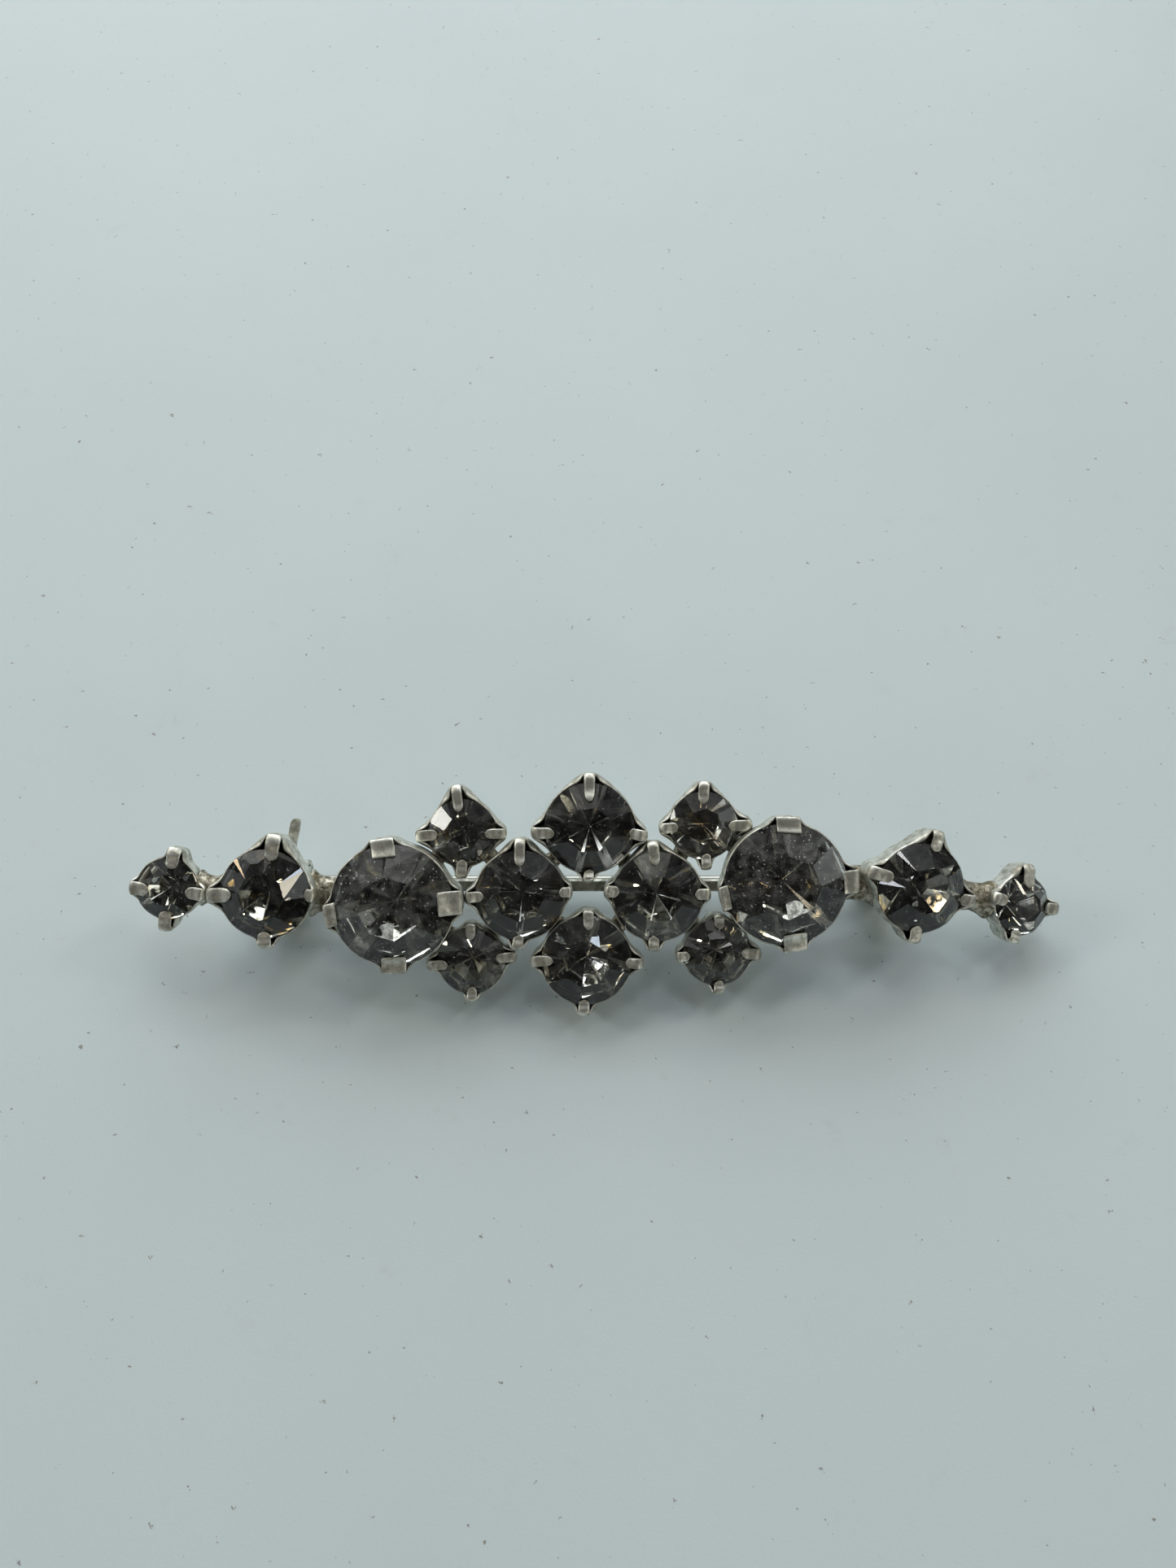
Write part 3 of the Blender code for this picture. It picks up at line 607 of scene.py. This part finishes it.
PLATE = pressed_plate()
SOLDER = dull_solder()
WIRE = drawn_wire()
GLASS = cut_glass("colourless_cut_glass", 0.05)
DUSTY_GLASS = cut_glass("dusty_cut_glass", 0.13)
RIDGE_FOIL = worn_foil()
BRIGHT_FOIL = aged_foil("silver_foil", "#d3d3ce", "#fcfbf7", 0.4, 0.42, 0.07)
GREY_FOIL = aged_foil("greyed_foil", "#a3a399", "#d4d2c6", 0.5, 0.44, 0.09)
DARK_FOIL = aged_foil("darkened_foil", "#4a4a46", "#7c7b75", 0.5, 0.50, 0.04)
TABLE = table_top()


# --- Making pieces ---


def finish_piece(name, bm, place, materials, replaced, body="brooch"):
    """Put a shape in its place as a piece that rides on a body and stands for a CAD node."""
    if place is not None:
        bmesh.ops.transform(bm, matrix=place, verts=bm.verts)
    mesh = bpy.data.meshes.new(name)
    bm.to_mesh(mesh)
    bm.free()
    made = bpy.data.objects.new(name, mesh)
    bpy.context.scene.collection.objects.link(made)
    for material in materials:
        mesh.materials.append(material)
    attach(made, body)
    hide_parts(replaced)
    return made


def slice_off(bm, point, normal):
    """Cut away what lies beyond a plane and close the cut with one facet."""
    geometry = bm.verts[:] + bm.edges[:] + bm.faces[:]
    cut = bmesh.ops.bisect_plane(
        bm, geom=geometry, dist=0.0001 * MM, plane_co=point, plane_no=normal, clear_outer=True
    )
    edges = [e for e in cut["geom_cut"] if isinstance(e, bmesh.types.BMEdge)]
    if edges:
        bmesh.ops.contextual_create(bm, geom=edges)


def cut_stone(name):
    """One rhinestone, cut from a round blank: a table, eight facets in front and eight behind, and ridges.

    Each facet is a little off true, as on machine-cut glass.
    """
    seat, girdle = SEATS[name]
    radius = girdle * STONE_FIT
    pavilion = radius * 2 * PAVILION_SHARE
    crown = radius * 2 * CROWN_SHARE
    table_r = radius * TABLE_SHARE
    chance = random.Random(name)
    bm = bmesh.new()
    bmesh.ops.create_cone(
        bm, cap_ends=True, segments=BLANK_SIDES, radius1=radius, radius2=radius, depth=radius * 2
    )
    slice_off(bm, (0, 0, crown + GIRDLE_T), (0, 0, 1))
    up = Vector((0, 0, 1))
    flat = math.cos(math.pi / CUT_SIDES)
    for i in range(CUT_SIDES):
        angle = math.tau * i / CUT_SIDES + chance.uniform(-FACET_SLIP, FACET_SLIP)
        out = Vector((math.cos(angle), math.sin(angle), 0))
        tip = up * -(pavilion + chance.uniform(-CULET_SLIP, CULET_SLIP) * MM)
        steep = chance.uniform(*FACET_SLOPES)
        slice_off(bm, out * radius + up * GIRDLE_T, out * crown * steep + up * (radius - table_r * flat))
        slice_off(bm, tip, out * pavilion * steep - up * radius)
    for i in range(CUT_SIDES):
        angle = math.tau * (i + 0.5) / CUT_SIDES + chance.uniform(-RIDGE_SLIP, RIDGE_SLIP)
        out = Vector((math.cos(angle), math.sin(angle), 0))
        tip = up * -pavilion
        slope = 1 - chance.uniform(*RIDGE_FLATTER[name in LARGE])
        slice_off(bm, out * table_r + up * (crown + GIRDLE_T), out * crown * slope + up * (radius - table_r))
        slice_off(bm, tip, out * pavilion * slope - up * radius)
    bmesh.ops.rotate(bm, verts=bm.verts, matrix=Matrix.Rotation(math.radians(STONE_TURN[name]), 3, "Z"))
    bmesh.ops.recalc_face_normals(bm, faces=bm.faces)
    backs = sorted((f for f in bm.faces if f.normal.z < BACK_FACING), key=lambda f: f.calc_area())
    ridges = len(backs) - CUT_SIDES
    for i, face in enumerate(backs):
        face.material_index = chance.choice(RIDGE_WEAR if i < ridges else FOIL_WEAR[name in SMALL])
    glass = DUSTY_GLASS if name in LARGE else GLASS
    materials = [glass, BRIGHT_FOIL, DARK_FOIL, GREY_FOIL, RIDGE_FOIL]
    return finish_piece("rhinestone_" + name, bm, seat, materials, "stone_" + name)


def grow(bm, row, closed):
    """Extrude a row of corners into a new row, in the same order."""
    pairs = zip(row, row[1:] + row[:1] if closed else row[1:])
    edges = [bm.edges.get(pair) for pair in pairs]
    grown = bmesh.ops.extrude_edge_only(bm, edges=edges)["geom"]
    fresh = {g for g in grown if isinstance(g, bmesh.types.BMVert)}
    return [next(e.other_vert(v) for e in v.link_edges if e.other_vert(v) in fresh) for v in row]


class Cup:
    """The measures of one cup, round its girdle's centre."""

    def __init__(self, name):
        self.seat, self.radius = SEATS[name]
        self.tabbed = name in LARGE
        scale = (SMALL_CLAW if name in SMALL else 1.0) * WIDE_CLAWS.get(name, 1.0)
        self.claw_w = TAB_W if self.tabbed else CLAW_W * scale
        self.tip_w = TAB_W if self.tabbed else CLAW_TIP_W * scale
        self.depth = -extent("setting_" + name, self.seat)[0].z
        self.claws = []
        for bearing, stand, lap, web in CLAWS[name]:
            half = math.asin(self.claw_w / 2 / (self.radius + stand * MM))
            self.claws.append((math.radians(bearing), half, stand * MM, lap * MM, math.radians(web)))

    def bearings(self):
        """The bearings of the wall's columns: three under each claw, and the rest even between the claws."""
        found = []
        steps = COLUMNS_BETWEEN + 1
        following = self.claws[1:] + self.claws[:1]
        for (claw, half, *_), (next_claw, next_half, *_) in zip(self.claws, following):
            first = claw + half
            last = next_claw + (math.tau if next_claw < claw else 0) - next_half
            found += [claw - half, claw]
            found += [first + (last - first) * k / steps for k in range(steps)]
        return found

    def rim(self, bearing):
        """How far out the wall's shoulder is at a bearing, and how much of a claw's lift it has there."""
        out, lift = 0.0, 0.0
        for claw, half, stand, _, web in self.claws:
            off = max(0.0, abs((bearing - claw + math.pi) % math.tau - math.pi) - half)
            share = max(0.0, 1 - off / web)
            out = max(out, stand * share**FLARE_CURVE)
            lift = max(lift, share**LIFT_CURVE)
        return self.radius + RIM_OUT + out, lift

    def fold(self, stand, lap):
        """A claw's rows as radius, height and ridge: up off the wall, over the girdle and onto the stone."""
        slope = CROWN_SHARE * 2 / (1 - TABLE_SHARE)
        skin = SHEET_T * math.sqrt(1 + slope**2) + CLAW_OFF_STONE
        rows = []
        for share, height, ridge in FOLD_UP[self.tabbed]:
            rows.append((self.radius + stand * share, height * MM, ridge * MM))
        for share, height, ridge in FOLD_OVER[self.tabbed]:
            radius = self.radius - lap * share
            glass = GIRDLE_T + max(0.0, self.radius * STONE_FIT - radius) * slope
            rows.append((radius, glass + skin + height * MM, ridge * MM))
        return rows


def raise_wall(bm, cup, bearings):
    """Raise the bowl and the wall from a flat back, and return the lip's corners."""
    bmesh.ops.create_circle(bm, cap_ends=True, radius=cup.radius, segments=len(bearings))
    row = sorted(bm.verts, key=lambda v: math.atan2(v.co.y, v.co.x) % math.tau)
    rims = [cup.rim(b) for b in bearings]
    base_r = cup.radius * BASE_SHARE

    def place(verts, share, rise):
        for vert, bearing, (rim_r, lift) in zip(verts, bearings, rims):
            shoulder = SHOULDER_Z + lift * SHOULDER_LIFT
            radius = base_r + (rim_r - base_r) * share
            z = -cup.depth + (shoulder + cup.depth) * rise
            vert.co = (radius * math.cos(bearing), radius * math.sin(bearing), z)

    place(row, CENTRE_ROW, 0.0)
    for share, rise in WALL_ROWS:
        row = grow(bm, row, True)
        place(row, share, rise)
    row = grow(bm, row, True)
    lean = cup.radius + RIM_OUT * LIP_LEAN
    for vert, bearing, (rim_r, lift) in zip(row, bearings, rims):
        radius = lean + (rim_r - lean) * (LIP_OUT + (1 - LIP_OUT) * lift**LIP_CURVE)
        z = LIP_Z + lift * LIP_LIFT
        vert.co = (radius * math.cos(bearing), radius * math.sin(bearing), z)
    return row


def fold_claw(bm, cup, side, claw, stand, lap, chance):
    """Fold one claw over from three corners of the lip, a little askew."""
    bend = chance.uniform(-CLAW_BEND, CLAW_BEND)
    wide = chance.uniform(*CLAW_WIDTHS)
    path = cup.fold(stand, lap * chance.uniform(*CLAW_LAPS))
    for step, (radius, z, ridge) in enumerate(path):
        side = grow(bm, side, False)
        share = step / (len(path) - 1)
        angle = claw + bend * share
        out = Vector((math.cos(angle), math.sin(angle), 0))
        across = Vector((-out.y, out.x, 0))
        width = (cup.claw_w + (cup.tip_w - cup.claw_w) * share) * wide
        at_tip = step == len(path) - 1 and not cup.tabbed
        if at_tip:
            width *= TIP_NARROWS
        for vert, way in zip(side, (-0.5, 0, 0.5)):
            lift = ridge if way == 0 else 0.0
            outward, upward = (lift, 0.0) if step < RIDGED_OUTWARD else (0.0, lift)
            if at_tip and way == 0:
                outward = -TIP_POINT
            vert.co = out * (radius + outward) + across * way * width + Vector((0, 0, z + upward))


def press_cup(name):
    """One cup of pressed sheet: a flat back, a bowl, a wall that flares to four claws, and folded claws."""
    cup = Cup(name)
    chance = random.Random("cup " + name)
    bm = bmesh.new()
    lip = raise_wall(bm, cup, cup.bearings())
    for i, (claw, _, stand, lap, _) in enumerate(cup.claws):
        first = i * (COLUMNS_BETWEEN + 3)
        fold_claw(bm, cup, lip[first : first + 3], claw, stand, lap, chance)
    bmesh.ops.recalc_face_normals(bm, faces=bm.faces)
    for vert in bm.verts:
        dent = noise.noise_vector(vert.co / DENT_SIZE + cup.seat.translation * SPREAD)
        vert.co += dent * DENT_DEPTH * MM
    for face in bm.faces:
        face.smooth = True
    made = finish_piece("cup_" + name, bm, cup.seat, [PLATE], "setting_" + name)
    wall = made.modifiers.new("sheet", "SOLIDIFY")
    wall.thickness = SHEET_T
    wall.offset = -1
    wall.use_even_offset = not cup.tabbed
    round_off = made.modifiers.new("round", "SUBSURF")
    round_off.levels = 2
    round_off.render_levels = 2
    return made


def flow_solder(first, second):
    """Solder run between two cups: flared where it wets each wall, and frozen in lumps."""
    name = f"solder_{first}_{second}"
    low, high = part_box(name)
    centre = (low + high) / 2
    run = (SEATS[second][0].translation - SEATS[first][0].translation).normalized()
    level = FACE.cross(run).normalized()
    place = Matrix((level, run.cross(level), run)).transposed().to_4x4()
    place.translation = centre
    low, high = extent(name, place)
    is_neck = (first, second) in NECKS
    half_w, half_d = (share * MM for share in NECKS.get((first, second), BEAD))
    length = (high.z - low.z) / 2 + (NECK_REACH if is_neck else BEAD_REACH)
    bm = bmesh.new()
    bmesh.ops.create_cone(
        bm, cap_ends=True, segments=SOLDER_SIDES, radius1=half_w, radius2=half_w, depth=2 * length
    )
    sides = [e for e in bm.edges if abs(e.verts[0].co.z - e.verts[1].co.z) > length]
    bmesh.ops.subdivide_edges(bm, edges=sides, cuts=SOLDER_ROWS)
    for vert in bm.verts:
        share = abs(vert.co.z) / length
        flare = SOLDER_WAIST + SOLDER_FLARE * share**SOLDER_CURVE - (END_NARROWS if share > END_FROM else 0)
        vert.co.x *= flare
        vert.co.y *= flare * half_d / half_w
        push = Vector((vert.co.x, vert.co.y, 0)).normalized()
        lump = sum(noise.noise(vert.co / (size * MM) + centre * SPREAD) * tall for size, tall in LUMPS)
        vert.co += push * lump * MM
        vert.co += Vector((0, NECK_LIFT if is_neck else 0, 0))
    bmesh.ops.recalc_face_normals(bm, faces=bm.faces)
    for face in bm.faces:
        face.smooth = True
    made = finish_piece(f"solder_joint_{first}_{second}", bm, place, [SOLDER], name)
    round_off = made.modifiers.new("round", "SUBSURF")
    round_off.levels = 1
    round_off.render_levels = 1
    return made


def soften(name, body, material, width):
    """A fitting with its CAD shape, and its edges rounded over as tumbling leaves them."""
    bm = bmesh.new()
    bm.from_mesh(frame["nodes"][name].data)
    bmesh.ops.remove_doubles(bm, verts=bm.verts, dist=MERGE_WITHIN)
    bmesh.ops.dissolve_limit(bm, angle_limit=FLAT_WITHIN, verts=bm.verts, edges=bm.edges)
    for face in bm.faces:
        face.smooth = True
    made = finish_piece("finished_" + name, bm, None, [material], name, body)
    made.data.set_sharp_from_angle(angle=SHARP_FROM)
    edge = made.modifiers.new("edge", "BEVEL")
    edge.width = width
    edge.segments = 2
    edge.limit_method = "ANGLE"
    edge.angle_limit = SHARP_FROM
    edge.harden_normals = True
    return made


noise.seed_set(DENT_SEED)
for name in CLAWS:
    cut_stone(name)
    press_cup(name)
for pair in SOLDERED:
    flow_solder(*pair)
soften("back_bar", "brooch", PLATE, 0.10 * MM)
soften("catch_housing", "brooch", PLATE, 0.05 * MM)
soften("hinge_bracket", "brooch", PLATE, 0.06 * MM)
soften("hinge_rivet", "brooch", PLATE, 0.07 * MM)
soften("catch_rotor", "rotor", PLATE, 0.04 * MM)
frame["nodes"]["pin_stem"].material_slots[0].material = WIRE


# --- The table, the light and the camera ---

TABLE_HALF = 2.0

# Someone leans over the table: the way to them, and the edge of their shade in degrees from it
TO_SITTER = (0, -0.52, 0.854)
SITTER_SHADE = (0.035, 0.036, 0.036, 1)
SHADE_EDGE = (46, 38)
TO_FAR_WALL = (0.0, 0.52, 0.854)
ROOM_STRENGTH = 0.29

# Each lamp's place and size in metres, its power in watts and its colour
LAMPS = {
    "window": ((-0.15, 0.95, 0.68), (1.3, 0.8), 8.1, "#f6fbff"),
    "side_window": ((-0.9, 0.1, 0.6), (0.22, 0.16), 1.9, "#fbfbf2"),
    "far_lamp": ((0.75, 0.35, 0.75), (0.12, 0.16), 1.2, "#fff6e4"),
    "near_lamp": ((0.5, -0.85, 0.35), (0.16, 0.12), 0.8, "#fffaf0"),
    "ceiling": ((0.1, 0.45, 1.0), (0.5, 0.3), 0.40, "#fbfbf6"),
}

# The small bright things of a room, which the facets pick up as flashes: a place, a brightness and a colour
BULB_SIZE = (0.10, 0.07)
BULB_POWER = 0.72
BULBS = [
    (-0.62, 0.30, 0.60, 0.50, "#ffe2b8"),
    (0.50, 0.10, 0.80, 0.45, "#e2f0ff"),
    (-0.35, -0.80, 0.40, 0.25, "#fff0d8"),
    (-0.25, 0.75, 0.62, 0.45, "#ffffff"),
    (0.42, 0.66, 0.66, 0.45, "#fff2d0"),
    (-0.55, -0.35, 0.80, 0.40, "#f4f8ff"),
    (0.72, -0.30, 0.62, 0.40, "#fff6e0"),
    (0.86, 0.25, 0.42, 0.40, "#e8f2ff"),
    (-0.86, 0.50, 0.30, 0.40, "#ffe9c4"),
    (0.12, 0.30, 0.98, 0.30, "#ffffff"),
]

SENSOR_HEIGHT = 36
LENS = 27.05
CAMERA_AT = (-0.0009, -0.0410, 0.0971)
CAMERA_TILT = math.radians(29.94)


def lay_table():
    """The table under the brooch."""
    bm = bmesh.new()
    bmesh.ops.create_grid(bm, x_segments=1, y_segments=1, size=TABLE_HALF)
    mesh = bpy.data.meshes.new("table")
    bm.to_mesh(mesh)
    bm.free()
    mesh.materials.append(TABLE)
    table = bpy.data.objects.new("table", mesh)
    bpy.context.scene.collection.objects.link(table)


def light_world():
    """A furnished room, lighter towards the far wall and dark where someone leans over the table."""
    world = bpy.data.worlds.new("room")
    bpy.context.scene.world = world
    world.use_nodes = True
    tree = world.node_tree
    way = add(tree, "ShaderNodeTexCoord", {}, {}).outputs["Generated"]
    sitter = Vector(TO_SITTER).normalized()
    near = add(tree, "ShaderNodeVectorMath", {"operation": "DOT_PRODUCT"}, {0: way, 1: sitter})
    outer, inner = (math.cos(math.radians(angle)) for angle in SHADE_EDGE)
    shade = add(
        tree,
        "ShaderNodeMapRange",
        {"interpolation_type": "SMOOTHSTEP"},
        {"Value": near.outputs["Value"], "From Min": outer, "From Max": inner},
    )
    behind = add(tree, "ShaderNodeVectorMath", {"operation": "DOT_PRODUCT"}, {0: way, 1: TO_FAR_WALL})
    glow = add(
        tree, "ShaderNodeMapRange", {}, {"Value": behind.outputs["Value"], "From Min": -0.6, "From Max": 1.0}
    )
    room = add(
        tree,
        "ShaderNodeMix",
        {"data_type": "RGBA"},
        {0: glow.outputs[0], 6: (0.22, 0.23, 0.23, 1), 7: (1.15, 1.2, 1.2, 1)},
    )
    clutter = add(tree, "ShaderNodeTexVoronoi", {}, {"Vector": way, "Scale": 7.0})
    shade_of = add(tree, "ShaderNodeSeparateColor", {}, {"Color": clutter.outputs["Color"]})
    patches = add(tree, "ShaderNodeMath", {"operation": "POWER"}, {0: shade_of.outputs[0], 1: 6.0})
    level = add(tree, "ShaderNodeMapRange", {}, {"Value": patches.outputs[0], "To Min": 0.16, "To Max": 8.0})
    furnished = add(
        tree, "ShaderNodeVectorMath", {"operation": "SCALE"}, {0: room.outputs[2], "Scale": level.outputs[0]}
    )
    tint = add(
        tree,
        "ShaderNodeMix",
        {"data_type": "RGBA"},
        {0: shade.outputs[0], 6: furnished.outputs[0], 7: SITTER_SHADE},
    )
    background = tree.nodes["Background"]
    tree.links.new(tint.outputs[2], background.inputs["Color"])
    background.inputs["Strength"].default_value = ROOM_STRENGTH


def add_light(name, at, size, power, tint):
    """A soft rectangular lamp that faces the brooch."""
    lamp = bpy.data.lights.new(name, "AREA")
    lamp.shape = "RECTANGLE"
    lamp.size, lamp.size_y = size
    lamp.energy = power
    lamp.color = colour(tint)[:3]
    made = bpy.data.objects.new(name, lamp)
    made.location = at
    made.rotation_euler = (-Vector(at)).to_track_quat("-Z", "Y").to_euler()
    bpy.context.scene.collection.objects.link(made)


def place_camera():
    """A camera over the near edge of the table, looking steeply down."""
    lens = bpy.data.cameras.new("camera")
    lens.sensor_fit = "VERTICAL"
    lens.sensor_height = SENSOR_HEIGHT
    lens.lens = LENS
    lens.clip_start = 5 * MM
    lens.clip_end = 20
    camera = bpy.data.objects.new("camera", lens)
    camera.location = CAMERA_AT
    camera.rotation_euler = (CAMERA_TILT, 0, 0)
    bpy.context.scene.collection.objects.link(camera)
    bpy.context.scene.camera = camera


lay_table()
light_world()
for name, (at, size, power, tint) in LAMPS.items():
    add_light(name, at, size, power, tint)
for number, (x, y, z, bright, tint) in enumerate(BULBS):
    add_light(f"bulb_{number}", (x, y, z), BULB_SIZE, bright * BULB_POWER, tint)
place_camera()

bpy.context.scene.view_settings.view_transform = "Standard"
bpy.context.view_layer.update()
